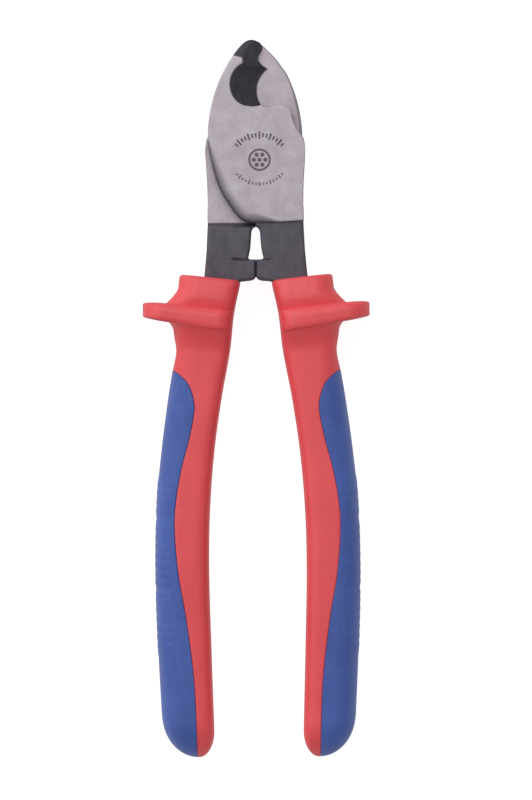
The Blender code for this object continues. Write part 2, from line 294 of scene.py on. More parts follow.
def ramp(value, low, high):
    """0 below low, 1 above high, smooth between."""
    t = np.clip((value - low) / (high - low), 0.0, 1.0)
    return t * t * (3.0 - 2.0 * t)


def cheek_outline(nose, back_start):
    """Blade, hook, nose, back of the jaw and cheek, counter-clockwise from the tang's side."""
    outer_side = smooth([(14.3, -18.2), (14.4, -9.0), (14.9, 0.0), (15.0, 3.5), (14.6, 6.4)], 6)
    shoulder = smooth([(14.6, 6.4), (12.6, 9.3), (11.4, 11.8), (11.0, 13.65)], 6)
    corner = arc((8.6, 13.65), 2.4, 0.0, 90.0, 8)
    edge = arc(EDGE_CENTRE, EDGE_RADIUS, 218.0, 126.0, 30)
    back = arc(JAW_BACK_CENTRE, JAW_BACK_RADIUS, back_start, 178.5, 20)
    lobe = smooth([(-14.2, 5.6), (-13.4, 0.5), (-11.3, -7.2), (-8.8, -12.0), (-6.2, -15.8),
                   (-3.6, -18.2), (-0.8, -18.85), (3.0, -18.8)], 6)
    return outer_side + shoulder + corner + edge + nose + back + lobe


def front_outline():
    """Outline of the blade that lies on top, with its hook, bite and nose."""
    throat = smooth([(2.65, 28.2), (1.4, 29.5), (1.0, 30.9), (2.3, 33.2), (2.3, 34.7)], 4)
    crown = smooth([(1.5, 35.4), (-0.8, NOSE_Y), (-3.0, 35.35), (-5.2, 33.1)], 5)
    return cheek_outline(throat + crown, 147.0)


def rear_outline():
    """Outline of the second blade, whose nose is ground a little shorter and straighter."""
    throat = smooth([(2.65, 28.2), (1.4, 29.5), (1.0, 30.9), (2.0, 32.6), (1.9, 33.8)], 4)
    crown = smooth([(0.9, 34.9), (-0.9, 35.3), (-2.1, 34.7), (-4.0, 33.0), (-6.2, 30.7), (-8.1, 28.2),
                    (-9.71, 25.86)], 5)
    return cheek_outline(throat + crown, 154.0)


def tang_outline():
    """The tang's plan: lug and keyhole on the inner side, then the part inside the grip."""
    levels = np.linspace(-38.0, TANG_END_Y, 30)
    keyhole = smooth([(LUG_GAP, -19.95), (0.8, -20.35), (1.25, -21.4), (1.45, -24.0), (1.65, -26.2),
                      (2.0, -28.0), (2.25, -29.1), (2.05, -29.6), (1.3, -29.75), (LUG_GAP, -29.75)], 6)
    lug = [(LUG_GAP, -29.9), (LUG_GAP, -34.9), (0.5, -35.6), (1.5, -36.05), (4.4, -36.3), (5.4, -36.8),
           (6.4, -37.0)]
    inside = [(float(tang_inner(y)), y) for y in levels]
    outside = [(float(tang_outer(y)), y) for y in levels[::-1]]
    rest = [(float(tang_outer(y)), y) for y in (-34, -27, -20)]
    return [(LUG_GAP, -14.0)] + keyhole + lug + inside + outside + rest + [(14.3, -14.0)]


def cheek_edge_round(x, y):
    """Radius of the cheek's upper edge: fine on the blade, wide and growing down the lobe."""
    down = np.clip((7.0 - y) / 12.0, 0.0, 1.0) ** 0.8
    return EDGE_ROUND + (LOBE_ROUND - EDGE_ROUND) * down * ramp(-x, -8.0, 0.5)


def bevel_cone(x, y, z):
    """Distance to the cone between the cutting edge and the bevel's arc on the ground face."""
    share = np.clip((z - PARTING) / (CHEEK_TOP - PARTING), -0.2, 1.3)
    centre_x = EDGE_CENTRE[0] + (BEVEL_CENTRE[0] - EDGE_CENTRE[0]) * share
    centre_y = EDGE_CENTRE[1] + (BEVEL_CENTRE[1] - EDGE_CENTRE[1]) * share
    radius = EDGE_RADIUS + (BEVEL_RADIUS - EDGE_RADIUS) * share
    arm_x, arm_y = x - centre_x, y - centre_y
    arm = np.hypot(arm_x, arm_y)
    corner = 4.0 * np.maximum(-arm_x, 0.0) * np.maximum(-arm_y, 0.0) / np.maximum(arm, 0.1) ** 2
    return (arm - radius * (1.0 + BEVEL_SQUARENESS * np.clip(share, 0.0, 1.0) * (corner / 2.0) ** 2)) * 0.6


def nose_relief(x, y, z):
    """Distance to the sloping planes on the nose and the hook, with a round tip between them."""
    along = ((x - NOSE_LINE_POINT[0]) * math.cos(NOSE_LINE_HEADING)
             + (y - NOSE_LINE_POINT[1]) * math.sin(NOSE_LINE_HEADING))
    nose = along * math.sin(NOSE_SLOPE) + (z - CHEEK_TOP) * math.cos(NOSE_SLOPE)
    hook = (x - HOOK_RELIEF_X) * math.sin(HOOK_SLOPE) + (z - CHEEK_TOP) * math.cos(HOOK_SLOPE)
    return round_max(nose, np.minimum(hook, y - HOOK_RELIEF_Y), 0.35)


def back_chamfer(x, y, z, cheek_plan):
    """Distance to the fine chamfer along the back of the jaw, on the side of the parting plane."""
    share = ramp(y, 1.0, 6.0) * ramp(-x, 0.0, 3.0)
    width = (0.3 + 0.5 * np.clip((31.0 - y) / 19.0, 0.0, 1.0)) * share - 0.4 * (1.0 - share)
    return (cheek_plan + width - (z - PARTING) * 2.2) * 0.41


def crease_distance(x, y, z):
    """Distance to the shallow forged crease across each lug, short on one side and long on the other."""
    half = np.where(z > 0.0, 1.0, 2.3)
    along = np.hypot(np.maximum(np.abs(x - 2.3 - half) - half, 0.0), y + 29.95 - 0.06 * (x - 2.3))
    return np.hypot(along, np.abs(z) - TANG_HALF_DEPTH) - np.where(z > 0.0, 0.2, 0.34)


def rivet_radius(z):
    """The countersunk rivet's radius at each height, flush heads included."""
    return RIVET_SHANK_RADIUS + np.maximum(np.abs(z) - CHEEK_TOP + RIVET_HEAD_DEPTH, 0.0)


def forged_distance(x, y, z, cheek_plan, tang_plan):
    """Signed distance of one forging, lying with its blade above the parting plane."""
    radius = cheek_edge_round(x, y)
    flatness = 1.0 + (LOBE_FLATNESS - 1.0) * (radius - EDGE_ROUND) / (LOBE_ROUND - EDGE_ROUND)
    cheek = round_max(cheek_plan, (z - CHEEK_TOP) * flatness, radius) / np.sqrt(flatness)
    hollow = round_max(bevel_cone(x, y, z), CHEEK_EDGE_Y - y, 0.4)
    cheek = round_max(cheek, -hollow, 0.12)
    cheek = round_max(cheek, nose_relief(x, y, z), 0.2)
    cheek = round_max(cheek, back_chamfer(x, y, z, cheek_plan), 0.15)
    tang = round_max(tang_plan, np.abs(z) - TANG_HALF_DEPTH, TANG_ROUND)
    tang = np.maximum(tang, -crease_distance(x, y, z))
    whole = round_min(cheek, tang, 0.35)
    wall_y = SHOULDER_Y + np.minimum(z - PARTING, 0.0) * SHOULDER_RUN / (TANG_HALF_DEPTH + PARTING)
    lap = np.minimum(PARTING - z, y - wall_y)
    bore = (rivet_radius(z) - np.hypot(x, y)) * 0.75
    return np.maximum(np.maximum(whole, lap), bore)


def surface_shares(x, y, z, cheek_plan):
    """How far each point is ground bright, and how far its oxide is darkened to near black on the head,
    partly as painted shade.
    """
    radius = cheek_edge_round(x, y)
    outward = np.clip(cheek_plan / radius + 1.0, 0.0, 1.0)
    top = ramp(z - CHEEK_TOP, -1.9, -1.5)
    fine = ramp(z - CHEEK_TOP, -0.3, -0.2) * ramp(-radius, -1.0, -0.4)
    # Partly painted shade: the ground finish fades to oxide across the lobe's wide rounding, standing in for
    # shade on that rounded edge.
    ground = np.maximum(np.clip((0.95 - outward) / 0.88, 0.0, 1.0) ** 0.72 * top, fine)
    ground = np.minimum(ground, ramp(bevel_cone(x, y, z), 0.0, 0.08))
    ground = np.minimum(ground, ramp(-nose_relief(x, y, z), 0.03, 0.1))
    ground = np.where(y > HOOK_RELIEF_Y - 1.0, np.minimum(ground, ramp(HOOK_RELIEF_X - x, -0.1, 0.0)), ground)
    land = ramp(-np.abs(bevel_cone(x, y, z)), -0.15, -0.05)
    chamfer = ramp(-np.abs(back_chamfer(x, y, z, cheek_plan)), -0.12, -0.06)
    chamfer = chamfer * ramp(-np.abs(cheek_plan + 0.5), -0.7, -0.6)
    below = PARTING - z + 0.2 * land
    parting = ramp(below, -0.09, -0.03) * ramp(y, SHOULDER_Y + 0.3, SHOULDER_Y + 0.5)
    ground = np.maximum(np.maximum(ground, parting), chamfer)
    # Painted shade: the oxide inside the head's outline is darkened, partly darker oxide and partly shade on
    # the bevel, nose and cheek walls.
    head = ramp(y, SHOULDER_Y - 0.9, SHOULDER_Y - 0.2) * ramp(-cheek_plan, 0.02, 0.2)
    # Darker along the inner edge where the two lugs meet.
    lug = ramp(-x, -0.9, -0.3) * ramp(np.abs(y + 32.5), 3.4, 2.4)
    # Painted shade in the forged crease across each lug.
    crease = ramp(-crease_distance(x, y, z), -0.25, 0.0)
    return {"ground": ground, "deep_oxide_and_shade": np.maximum(np.maximum(head, lug), crease)}


def surface_net(xs, ys, zs, values):
    """Vertices and quads of the zero surface of values on a grid."""
    shape = (len(xs) - 1, len(ys) - 1, len(zs) - 1)
    total = np.zeros(shape + (3,), np.float32)
    count = np.zeros(shape, np.float32)
    axes = (xs, ys, zs)
    quads = []
    inside = values < 0
    mixed = np.zeros(shape, bool)
    crossings = []
    for axis in range(3):
        low = [slice(None)] * 3
        high = [slice(None)] * 3
        low[axis] = slice(None, -1)
        high[axis] = slice(1, None)
        a, b = values[tuple(low)], values[tuple(high)]
        cross = inside[tuple(low)] != inside[tuple(high)]
        t = np.where(cross, a / np.where(cross, a - b, 1.0), 0.0)
        where = []
        for other in range(3):
            form = [1, 1, 1]
            form[other] = -1
            line = axes[other]
            if other == axis:
                start = line[:-1].reshape(form)
                step = np.diff(line).reshape(form)
                where.append(start + t * step)
            else:
                where.append(np.broadcast_to(line.reshape(form), t.shape))
        u, v = [k for k in range(3) if k != axis]
        for du in (0, 1):
            for dv in (0, 1):
                cut = [slice(None)] * 3
                cut[u] = slice(du, du + shape[u])
                cut[v] = slice(dv, dv + shape[v])
                cut = tuple(cut)
                hit = cross[cut]
                count += hit
                mixed |= hit
                for other in range(3):
                    total[..., other] += where[other][cut] * hit
        crossings.append((axis, u, v, np.argwhere(cross), inside[tuple(low)]))
    index = -np.ones(shape, np.int64)
    index[mixed] = np.arange(int(mixed.sum()))
    vertices = total[mixed] / count[mixed][:, None]
    for axis, u, v, cells, starts_inside in crossings:
        keep = (cells[:, u] > 0) & (cells[:, v] > 0) & (cells[:, u] < shape[u]) & (cells[:, v] < shape[v])
        cells = cells[keep]
        corners = []
        for du, dv in ((1, 1), (0, 1), (0, 0), (1, 0)):
            cell = cells.copy()
            cell[:, u] -= du
            cell[:, v] -= dv
            corners.append(index[cell[:, 0], cell[:, 1], cell[:, 2]])
        quad = np.stack(corners, axis=1)
        flip = starts_inside[cells[:, 0], cells[:, 1], cells[:, 2]]
        if axis == 1:
            flip = ~flip
        quad[~flip] = quad[~flip][:, ::-1]
        quads.append(quad)
    return vertices.astype(float), np.concatenate(quads)


def bilinear(field, xs, ys, x, y):
    """Value of a plan field at any points."""
    i = np.clip(np.searchsorted(xs, x) - 1, 0, len(xs) - 2)
    j = np.clip(np.searchsorted(ys, y) - 1, 0, len(ys) - 2)
    s = (x - xs[i]) / (xs[i + 1] - xs[i])
    t = (y - ys[j]) / (ys[j + 1] - ys[j])
    return ((1 - s) * (1 - t) * field[i, j] + s * (1 - t) * field[i + 1, j]
            + (1 - s) * t * field[i, j + 1] + s * t * field[i + 1, j + 1])


def forged_mesh(outline):
    """Skin of one forging, with each vertex drawn on to the true surface."""
    xs = np.arange(-16.2, 27.5, CELL)
    ys = np.concatenate([np.arange(TANG_END_Y - 2.0, -46.0, 1.5), np.arange(-46.0, NOSE_Y + 1.0, CELL)])
    zs = np.arange(-5.3, 6.3, CELL) + 0.013
    grid_x, grid_y = np.meshgrid(xs, ys, indexing="ij")
    plans = [polygon_distance(grid_x, grid_y, line) for line in (outline, tang_outline())]
    values = forged_distance(grid_x[:, :, None], grid_y[:, :, None], zs[None, None, :],
                             *[plan[:, :, None] for plan in plans])
    vertices, quads = surface_net(xs, ys, zs, values)

    def distance(p):
        here = [bilinear(plan, xs, ys, p[:, 0], p[:, 1]) for plan in plans]
        return forged_distance(p[:, 0], p[:, 1], p[:, 2], *here)
    step = 0.02
    for _ in range(3):
        value = distance(vertices)
        slope = np.stack([(distance(vertices + step * e) - distance(vertices - step * e)) / (2 * step)
                          for e in np.eye(3)], axis=1)
        move = value[:, None] * slope / np.maximum((slope ** 2).sum(axis=1), 0.2)[:, None]
        length = np.linalg.norm(move, axis=1, keepdims=True)
        vertices -= move * np.minimum(1.0, 0.5 * CELL / np.maximum(length, 1e-9))
    shares = surface_shares(*vertices.T, bilinear(plans[0], xs, ys, vertices[:, 0], vertices[:, 1]))
    return vertices, quads.tolist(), shares


def forged_half(name, node, outline, turned, body):
    """One forging from its outline, ground and oxide surfaces marked."""
    vertices, quads, shares = forged_mesh(outline)
    half = mesh_object(name, vertices, quads, turned, body, shares)
    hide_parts(node)
    return half


def rivet():
    """Countersunk rivet, turned: a thin flange hides the edge of the bore."""
    top = CHEEK_TOP + RIVET_PROUD
    rim = RIVET_HEAD_RADIUS + RIVET_FLANGE
    side = [(0.0, top), (rim, top), (rim, CHEEK_TOP - RIVET_PROUD),
            (RIVET_HEAD_RADIUS - 0.04, CHEEK_TOP - 0.02),
            (RIVET_SHANK_RADIUS - 0.04, CHEEK_TOP - RIVET_HEAD_DEPTH)]
    side += [(radius, -z) for radius, z in side[::-1]]
    turns = np.linspace(0.0, math.tau, 96, endpoint=False)
    rings = [[(radius * math.cos(a), radius * math.sin(a), z) for a in turns] for radius, z in side]
    vertices, faces = skin(rings)
    pin = mesh_object("countersunk_rivet", vertices, faces, True, "root",
                      {"ground": np.ones(len(vertices)), "deep_oxide_and_shade": np.zeros(len(vertices))})
    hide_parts("pivot_rivet")
    return pin


# ---------------------------------------------------------------- grips

def lobe_share(y):
    """The guard's side lobe: 1 on its outer rim, 0 off the guard."""
    reach = min(abs(y - GUARD_MID_Y) / GUARD_HALF_THICK, 1.0)
    rim = RIM_SHARE[0] if y > GUARD_MID_Y else RIM_SHARE[1]
    if reach <= rim:
        return 1.0
    return (1.0 - ((reach - rim) / (1.0 - rim)) ** 2.6) ** (1 / 2.6)


def ridge_share(y):
    """The guard's ridge on the two flat sides: it rises in a quarter round, runs level and drops off."""
    if y > RIDGE_FLAT_Y[0]:
        t = min((RIDGE_TOP_Y - y) / (RIDGE_TOP_Y - RIDGE_FLAT_Y[0]), 1.0)
        return (1.0 - (1.0 - t) ** 2.2) ** (1 / 2.2) if t > 0.0 else 0.0
    t = min(max((RIDGE_FLAT_Y[1] - y) / (RIDGE_FLAT_Y[1] - RIDGE_END_Y), 0.0), 1.0)
    return math.sqrt(1.0 - t * t)


def station_tilt(y):
    """Slope of a cross-section in plan: steepest under the guard, none from the neck down."""
    down_guard = min(max((-44.0 - y) / 5.0, 0.0), 1.0)
    below = min(max((y + 66.0) / 15.0, 0.0), 1.0)
    return (COLLAR_TILT + (GUARD_TILT - COLLAR_TILT) * down_guard) * below


def end_share(y, length):
    """A quarter ellipse that closes the grip's end."""
    t = min((y - GRIP_END_Y) / length, 1.0)
    return math.sqrt(max(1.0 - (1.0 - t) ** 2, 0.0))


def station_sizes(y):
    """Middle, half width, half depth, lobe and ridge shares and tilt of one cross-section."""
    tilt = station_tilt(y)
    lobe = lobe_share(y)
    ridge = ridge_share(y)
    above_guard = min(max((y - GUARD_MID_Y - GUARD_HALF_THICK) / FILLET_LENGTH, 0.0), 1.0)
    fillet = FILLET_WIDTH * (1.0 - above_guard) ** 1.4 if y > GUARD_MID_Y else 0.0
    below = max(RIDGE_END_Y - y, 0.0)
    under = [height * max(1.0 - below / length, 0.0) ** power if y < GUARD_MID_Y else 0.0
             for height, length, power in zip(UNDER_FILLET, UNDER_LENGTH, UNDER_POWER)]
    into_collar = max(1.0 - (COLLAR_TOP_Y - y) / COLLAR_ROUND, 0.0)
    rounding = COLLAR_ROUND * (1.0 - math.sqrt(max(1.0 - into_collar ** 2, 0.0)))
    outer = float(grip_outer(y)) + fillet + under[0] - rounding
    outer += (GUARD_HALF_SPAN - outer) * lobe
    inner = float(grip_inner(y - tilt * 17.0)) + rounding
    depth = float(grip_depth(y)) + under[1] - rounding
    depth += (GUARD_HALF_DEPTH - depth) * ridge
    outer = GRIP_TIP_X + (outer - GRIP_TIP_X) * end_share(y, GRIP_OUTER_END)
    inner = GRIP_TIP_X + (inner - GRIP_TIP_X) * end_share(y, GRIP_INNER_END)
    depth *= end_share(y, GRIP_DEPTH_END)
    return (outer + inner) / 2, (outer - inner) / 2, depth, lobe, ridge, tilt


def section_power(sizes, across):
    """Squareness of a cross-section: a soft oval, squarer at the neck and most on the inner side."""
    if across < 0.0:
        return INNER_POWER
    return max(2.6 + 0.9 * max(sizes[3], sizes[4]), 2.6 + 1.4 * sizes[5] / GUARD_TILT)


def section_point(y, sizes, angle, sink=0.0):
    """A point on a cross-section at an angle seen from its middle, or sunk under it by a distance."""
    middle, half, depth, lobe, ridge, tilt = sizes
    across, up = math.cos(angle), math.sin(angle)
    power = section_power(sizes, across)
    reach = (abs(across) ** power + abs(up) ** power) ** (-1 / power)
    flat = 1.0 + (RIDGE_FLATNESS - 1.0) * ridge
    x = middle + max(half - sink, 0.0) * reach * across
    height = min(flat * abs(reach * up), 1.0)
    return (x, y + tilt * (x - TILT_PIVOT_X), max(depth - sink, 0.0) * math.copysign(height, up))


def soft_edge_x(y):
    """How far out the overlay's edge lies at a station."""
    return float(np.interp(-y, -SOFT_EDGE[:, 1], SOFT_EDGE[:, 0]))


def soft_angle(y, sizes):
    """Half angle of the overlay round a cross-section, 0 where there is none."""
    across = min(max((soft_edge_x(y) - sizes[0]) / max(sizes[1], 1e-6), -1.0), 1.0)
    power = section_power(sizes, across)
    return math.atan2(max(1.0 - abs(across) ** power, 0.0) ** (1 / power), across) if across < 1.0 else 0.0


def soft_top():
    """The station where the overlay's edge leaves the grip's outer side."""
    levels = np.arange(-61.0, -66.0, -0.01)
    return next(y for y in levels if soft_angle(y, station_sizes(y)) > 0.0)


SOFT_TOP_Y = soft_top()


def grip_stations(top):
    """Station heights: close at the collar, guard, overlay's tip and end, wider between."""
    quarter = np.linspace(0.0, math.pi / 2, 9)
    low_guard = RIDGE_FLAT_Y[1] - RIDGE_END_Y
    parts = [
        COLLAR_TOP_Y - COLLAR_ROUND * (1.0 - np.cos(quarter)),
        np.arange(COLLAR_TOP_Y - 1.3, GUARD_MID_Y + GUARD_HALF_THICK, -0.35),
        RIDGE_TOP_Y - (RIDGE_TOP_Y - RIDGE_FLAT_Y[0]) * np.linspace(0.0, 1.0, 17) ** 2,
        GUARD_MID_Y + GUARD_HALF_THICK * np.sin(np.linspace(math.pi / 2, 0.0, 17)) ** 0.6,
        GUARD_MID_Y - GUARD_HALF_THICK * np.sin(np.linspace(0.0, math.pi / 2, 17)) ** 0.6,
        RIDGE_FLAT_Y[1] - low_guard * np.sin(quarter),
        np.arange(RIDGE_END_Y - 0.05, RIDGE_END_Y - UNDER_LENGTH[0], -0.2),
        np.arange(RIDGE_END_Y - UNDER_LENGTH[0], SOFT_TOP_Y + 0.2, -0.5),
        SOFT_TOP_Y - 1.2 * np.linspace(0.0, 1.0, 15) ** 2,
        np.arange(SOFT_TOP_Y - 1.5, GRIP_END_Y + 14.0, -0.45),
        GRIP_END_Y + 13.5 * (1.0 - np.cos(np.linspace(math.pi / 2, 0.0, 40)))]
    stations = sorted(set(np.round(np.concatenate(parts), 4)), reverse=True)
    return [float(y) for y in stations if y <= top]


def skin(rings):
    """Vertices and faces of a stack of equal rings with closed ends."""
    count = len(rings[0])
    vertices = [point for ring in rings for point in ring]
    faces = []
    for r in range(len(rings) - 1):
        for i in range(count):
            j = (i + 1) % count
            faces.append((r * count + i, r * count + j, (r + 1) * count + j, (r + 1) * count + i))
    faces.append(tuple(range(count)))
    faces.append(tuple(range((len(rings) - 1) * count, len(rings) * count))[::-1])
    return vertices, faces


def recess_depth(y):
    """Depth of the overlay's recess: full along the grip, running out at its two ends."""
    rise = min(max((SOFT_TOP_Y - y) / RECESS_RISE, 0.0), 1.0)
    return SOFT_THICKNESS * rise * min((y - GRIP_END_Y) / RECESS_RUNOUT, 1.0)


def grip_body(side, turned, body):
    """The hard sleeve, with the recess that the overlay lies in."""
    rings = []
    for y in grip_stations(COLLAR_TOP_Y):
        sizes = station_sizes(y)
        edge = soft_angle(y, sizes)
        sink = recess_depth(y)
        lip = min(LIP / max(sizes[1] + sizes[2], 1.0), edge)
        outside = np.linspace(edge + lip, math.tau - edge - lip, 97)
        ring = [section_point(y, sizes, a, -SEAM_HEIGHT if i == 48 else 0.0) for i, a in enumerate(outside)]
        for a, share in ((edge + lip * 0.35, 0.06), (edge, 0.25)):
            ring.append(section_point(y, sizes, math.tau - a, min(share, sink)))
        for a in np.linspace(-edge, edge, 25):
            ring.append(section_point(y, sizes, a, sink))
        for a, share in ((edge, 0.25), (edge + lip * 0.35, 0.06)):
            ring.append(section_point(y, sizes, a, min(share, sink)))
        rings.append(ring)
    vertices, faces = skin(rings)
    grip = mesh_object(side + "_grip_sleeve", vertices, faces, turned, body)
    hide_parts(side + "_grip_body")
    return grip


def pad_height(y, angle):
    """Raised pads on the overlay's outer side: fine cross ribs between wide grooves."""
    around = float(ramp(-abs(angle), -1.3, -0.95))
    along = float(ramp(PAD_TOP_Y - y, 0.0, 1.6) * ramp(y - PAD_END_Y, 0.0, 1.6))
    if around * along == 0.0:
        return 0.0
    groove = max(float(ramp(GROOVE_HALF_WIDTH - abs(y - middle), 0.0, 1.2)) for middle in GROOVES_Y)
    rib = RIB_HEIGHT * (0.5 + 0.5 * math.cos(math.tau * (y - PAD_TOP_Y) / RIB_PITCH))
    return around * along * (1.0 - groove) * (PAD_HEIGHT - RIB_HEIGHT + rib)


def grip_overlay(side, turned, body):
    """The soft overlay: a crescent shell in the sleeve's recess, ribbed on its outer side."""
    rings = []
    for y in grip_stations(SOFT_TOP_Y - 0.01):
        sizes = station_sizes(y)
        edge = soft_angle(y, sizes)
        sink = recess_depth(y) * 0.97
        lip = min(LIP / max(sizes[1] + sizes[2], 1.0), edge * 0.5)
        swell = min(SOFT_SWELL, sink)
        ring = []
        for a, share in ((-edge + lip * 0.05, 0.3), (-edge + lip * 0.3, 0.1)):
            ring.append(section_point(y, sizes, a, min(share, sink)))
        for a in np.linspace(-edge + lip, edge - lip, 65):
            ring.append(section_point(y, sizes, a, -swell - pad_height(y, a)))
        for a, share in ((edge - lip * 0.3, 0.1), (edge - lip * 0.05, 0.3)):
            ring.append(section_point(y, sizes, a, min(share, sink)))
        for a in np.linspace(edge - lip * 0.05, -edge + lip * 0.05, 25):
            ring.append(section_point(y, sizes, a, sink))
        rings.append(ring)
    vertices, faces = skin(rings)
    overlay = mesh_object(side + "_grip_inlay", vertices, faces, turned, body)
    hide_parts(side + "_grip_overlay")
    return overlay


# ---------------------------------------------------------------- materials

class Shade:
    """A material being built: each call adds one node and gives its output socket."""

    def __init__(self, name):
        self.material = bpy.data.materials.new(name)
        self.material.use_nodes = True
        self.tree = self.material.node_tree
        self.shader = self.tree.nodes["Principled BSDF"]

    def feed(self, socket, value):
        """Link an output to a socket, or set the socket's own value."""
        if isinstance(value, bpy.types.NodeSocket):
            self.tree.links.new(value, socket)
        else:
            socket.default_value = value

    def add(self, kind, inputs, output=0, **settings):
        node = self.tree.nodes.new("ShaderNode" + kind)
        for name, value in settings.items():
            setattr(node, name, value)
        for key, value in inputs.items():
            self.feed(node.inputs[key], value)
        return node.outputs[output]

    def place(self):
        """Object coordinates in millimetres from the rivet's centre."""
        coordinates = self.add("TexCoord", {}, "Object")
        return self.add("Mapping", {"Vector": coordinates, "Location": -PIVOT / MM,
                                    "Scale": (1 / MM, 1 / MM, 1 / MM)})

    def stretch(self, vector, scale):
        return self.add("Mapping", {"Vector": vector, "Scale": scale})

    def math(self, operation, a, b=0.0):
        return self.add("Math", {0: a, 1: b}, operation=operation)

    def length(self, a, b):
        """Length of the plane vector (a, b)."""
        squares = [self.math("POWER", self.math("ABSOLUTE", side), 2.0) for side in (a, b)]
        return self.math("SQRT", self.math("ADD", *squares))

    def ramp(self, value, low, high):
        """0 at low, 1 at high, smooth between. The other way round where low is above high."""
        return self.add("MapRange", {"Value": value, "From Min": low, "From Max": high},
                        interpolation_type="SMOOTHSTEP")

    def span(self, value, low, high):
        """Carry a 0 to 1 value over to another range."""
        return self.add("MapRange", {"Value": value, "To Min": low, "To Max": high})

    def noise(self, vector, scale, detail=3.0):
        return self.add("TexNoise", {"Vector": vector, "Scale": scale, "Detail": detail})

    def mix(self, share, a, b):
        return self.add("Mix", {0: share, 6: (*a, 1.0) if isinstance(a, tuple) else a,
                                7: (*b, 1.0) if isinstance(b, tuple) else b}, 2, data_type="RGBA")

    def blend(self, share, a, b):
        """Mix of two numbers."""
        return self.add("Mix", {0: share, 2: a, 3: b}, 0, data_type="FLOAT")

    def bump(self, height, microns, normal=None):
        inputs = {"Height": height, "Strength": 1.0, "Distance": microns * 1e-6}
        if normal is not None:
            inputs["Normal"] = normal
        return self.add("Bump", inputs)


def graduation(shade, x, y, centre_y, facing, radii, lines):
    """An arc of short radial lines, every third one longer, facing up or down the tool."""
    arm_x = shade.math("SUBTRACT", x, MARK_X)
    arm_y = shade.math("MULTIPLY", shade.math("SUBTRACT", y, centre_y), facing)
    angle = shade.math("ARCTAN2", arm_x, arm_y)
    radius = shade.length(arm_x, arm_y)
    middle = sum(radii) / 2
    pitch = 2 * MARK_SPREAD / lines
    to_line = shade.math("MULTIPLY", shade.math("PINGPONG", angle, pitch / 2), middle)
    to_long = shade.math("MULTIPLY", shade.math("PINGPONG", angle, pitch * 1.5), middle)
    half = (radii[1] - radii[0]) / 2
    reach = shade.blend(shade.ramp(to_long, 0.55, 0.45), half * 0.6, half)
    over = shade.math("SUBTRACT", shade.math("ABSOLUTE", shade.math("SUBTRACT", radius, middle)), reach)
    line = shade.math("MULTIPLY", shade.ramp(to_line, 0.36, 0.22), shade.ramp(over, 0.08, -0.08))
    inside = shade.ramp(shade.math("ABSOLUTE", angle), MARK_SPREAD + 0.04, MARK_SPREAD + 0.02)
    return shade.math("MULTIPLY", line, inside)


def cable_sign(shade, x, y):
    """A cable's cross-section: seven strands in a sheath, drawn as dots in a ring."""
    arm_x = shade.math("SUBTRACT", x, MARK_X)
    radius = shade.length(arm_x, y)
    angle = shade.math("PINGPONG", shade.math("ARCTAN2", y, arm_x), math.pi / 6)
    off_x = shade.math("SUBTRACT", shade.math("MULTIPLY", radius, shade.math("COSINE", angle)), STRAND_CIRCLE)
    off_y = shade.math("MULTIPLY", radius, shade.math("SINE", angle))
    to_dot = shade.length(off_x, off_y)
    dots = shade.ramp(shade.math("MINIMUM", to_dot, radius), 0.72, 0.56)
    ring = shade.ramp(shade.math("ABSOLUTE", shade.math("SUBTRACT", radius, SHEATH_RADIUS)), 0.38, 0.24)
    return shade.math("MAXIMUM", dots, ring)


